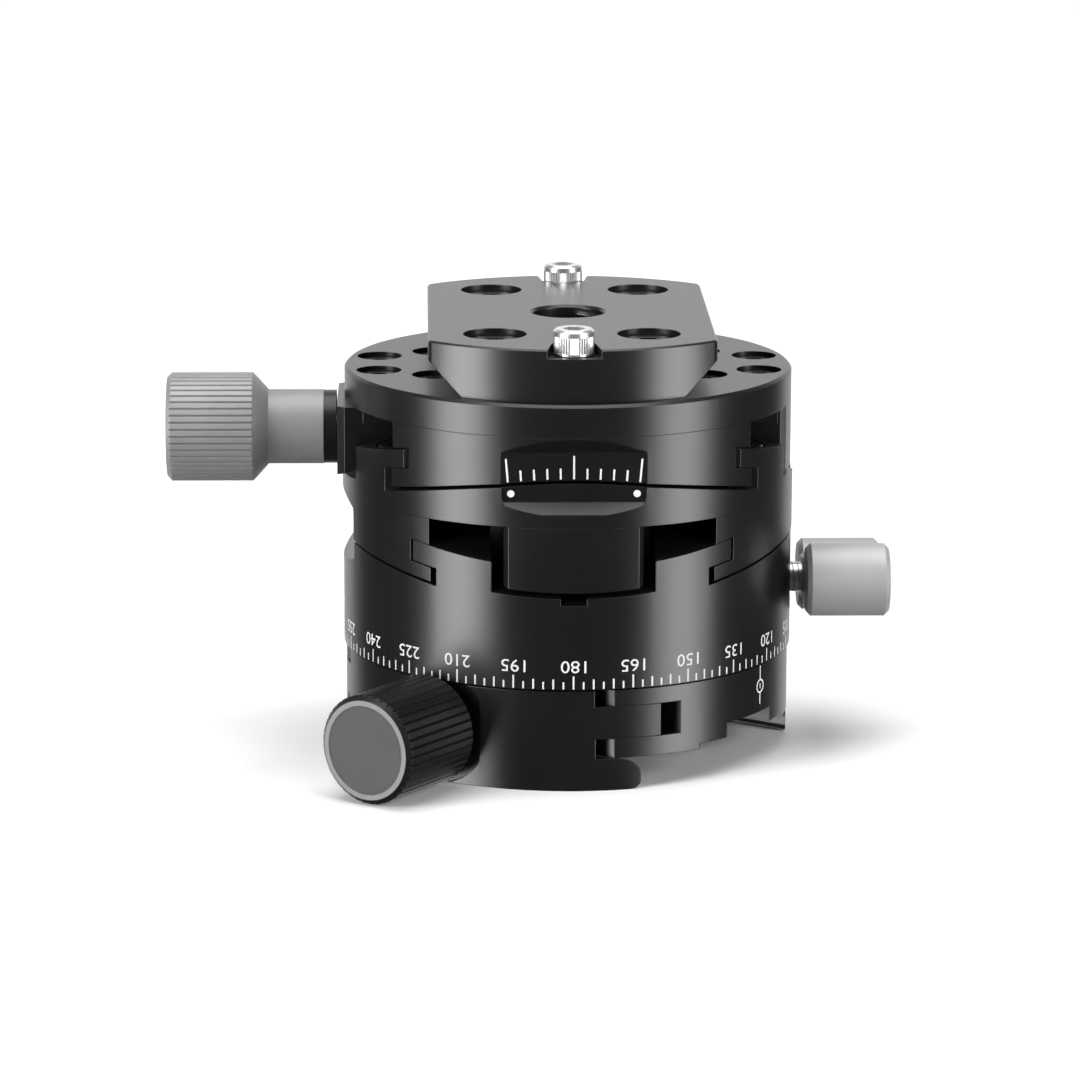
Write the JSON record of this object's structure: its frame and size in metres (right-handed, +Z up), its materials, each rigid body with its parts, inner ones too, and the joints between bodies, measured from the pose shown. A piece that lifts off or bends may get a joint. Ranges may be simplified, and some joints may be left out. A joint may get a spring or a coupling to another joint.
{
  "type": "panoramic tripod head",
  "caption": "Levelling panoramic tripod head: a screw-knob dovetail clamp and a graduated pan base carry two crossed worm-driven arc slides and a dovetail plate with a camera thread.",
  "frame": {"origin": "on the pan axis, at the roof of the relief groove in the quick-release clamp, the face that looks down at what the clamp holds", "axes": "+Z up along the pan axis towards the dovetail plate; +X towards the pan lock knob; -Y towards the scale window of the upper slide"},
  "size_m": [0.096, 0.0939, 0.0601],
  "materials": {
    "black_anodised": "satin black anodised",
    "plate_anodised": "satin dark grey anodised",
    "knob_black": "black anodised",
    "knob_grey": "bead-blasted grey anodised",
    "cap_grey": "satin grey anodised",
    "spindle_steel": "turned",
    "screw_black": "black oxide steel",
    "screw_silver": "polished",
    "rack_brass": "machined",
    "bush_bronze": "machined",
    "washer_polymer": "matte"
  },
  "bodies": {
    "base": {"clamp_base": "black_anodised", "spindle": "spindle_steel", "spindle_screws": "screw_black", "guide_pins": "spindle_steel"},
    "jaw": {"clamp_jaw": "black_anodised", "clamp_washer": "knob_black"},
    "clamp_knob_set": {"clamp_knob": "knob_black", "clamp_knob_cap": "cap_grey", "clamp_screw": "spindle_steel", "clamp_clip": "spindle_steel"},
    "dial": {"dial_body": "black_anodised", "spindle_retainer": "spindle_steel", "retainer_screws": "screw_black", "pan_bush": "bush_bronze", "upper_thrust_washer": "washer_polymer", "lower_thrust_washer": "washer_polymer", "lower_rack": "rack_brass", "lower_rack_screws": "screw_black"},
    "lock_pad_set": {"lock_pad": "bush_bronze"},
    "lock_knob_set": {"lock_knob": "knob_grey", "lock_screw": "spindle_steel"},
    "mid": {"mid_stage": "black_anodised", "left_cheek": "black_anodised", "right_cheek": "black_anodised", "cheek_screws": "screw_black", "lower_front_bearing": "black_anodised", "lower_rear_bearing": "black_anodised", "lower_bearing_screws": "screw_black", "lower_worm_bushes": "bush_bronze", "upper_rack": "rack_brass", "upper_rack_screws": "screw_black"},
    "lower_worm": {"lower_worm_shaft": "spindle_steel", "lower_tilt_knob": "knob_grey", "lower_knob_collar": "knob_black", "lower_knob_grub": "screw_black"},
    "top": {"top_disc": "black_anodised", "front_rail": "black_anodised", "rear_rail": "black_anodised", "rail_screws": "screw_black", "left_bearing": "black_anodised", "right_bearing": "black_anodised", "bearing_screws": "screw_black", "upper_worm_bushes": "bush_bronze", "dovetail_plate": "plate_anodised", "plate_screws": "screw_black", "stop_screws": "screw_silver"},
    "upper_worm": {"upper_worm_shaft": "spindle_steel", "upper_tilt_knob": "knob_grey", "upper_knob_collar": "knob_black", "upper_knob_grub": "screw_black"}
  },
  "joints": [
    {"name": "pan", "type": "hinge", "parent": "base", "child": "dial", "pos_m": [0, 0, 0], "axis": [0, 0, 1], "continuous": true},
    {"name": "lower_tilt", "type": "hinge", "parent": "dial", "child": "mid", "pos_m": [0, 0, -0.0784], "axis": [1, 0, 0], "range_deg": [-10, 10]},
    {"name": "upper_tilt", "type": "hinge", "parent": "mid", "child": "top", "pos_m": [0, 0, -0.0634], "axis": [0, 1, 0], "range_deg": [-10, 10]},
    {"name": "lower_worm_spin", "type": "hinge", "parent": "mid", "child": "lower_worm", "pos_m": [0, 0, 0.02365], "axis": [0, -1, 0], "range_deg": [-3200, 3200]},
    {"name": "upper_worm_spin", "type": "hinge", "parent": "top", "child": "upper_worm", "pos_m": [0, 0, 0.0354], "axis": [1, 0, 0], "range_deg": [-3100, 3100]},
    {"name": "jaw_slide", "type": "slide", "parent": "base", "child": "jaw", "axis": [-0.5948, -0.8039, 0], "range_m": [-0.00075, 0.0025]},
    {"name": "clamp_turn", "type": "hinge", "parent": "jaw", "child": "clamp_knob_set", "pos_m": [0, 0, 0.00035], "axis": [-0.5948, -0.8039, 0], "range_deg": [-388, 1290]},
    {"name": "lock_press", "type": "slide", "parent": "dial", "child": "lock_pad_set", "axis": [1, 0, 0], "range_m": [0, 0.00035]},
    {"name": "lock_turn", "type": "hinge", "parent": "lock_pad_set", "child": "lock_knob_set", "pos_m": [0.02, 0, 0.01465], "axis": [1, 0, 0], "range_deg": [0, 181]}
  ],
  "couplings": [
    {"joint": "lower_worm_spin", "follows": "lower_tilt", "ratio": 313.14},
    {"joint": "upper_worm_spin", "follows": "upper_tilt", "ratio": 302.93},
    {"joint": "clamp_turn", "follows": "jaw_slide", "rad_per_m": 8976},
    {"joint": "lock_turn", "follows": "lock_press", "rad_per_m": 8976}
  ]
}
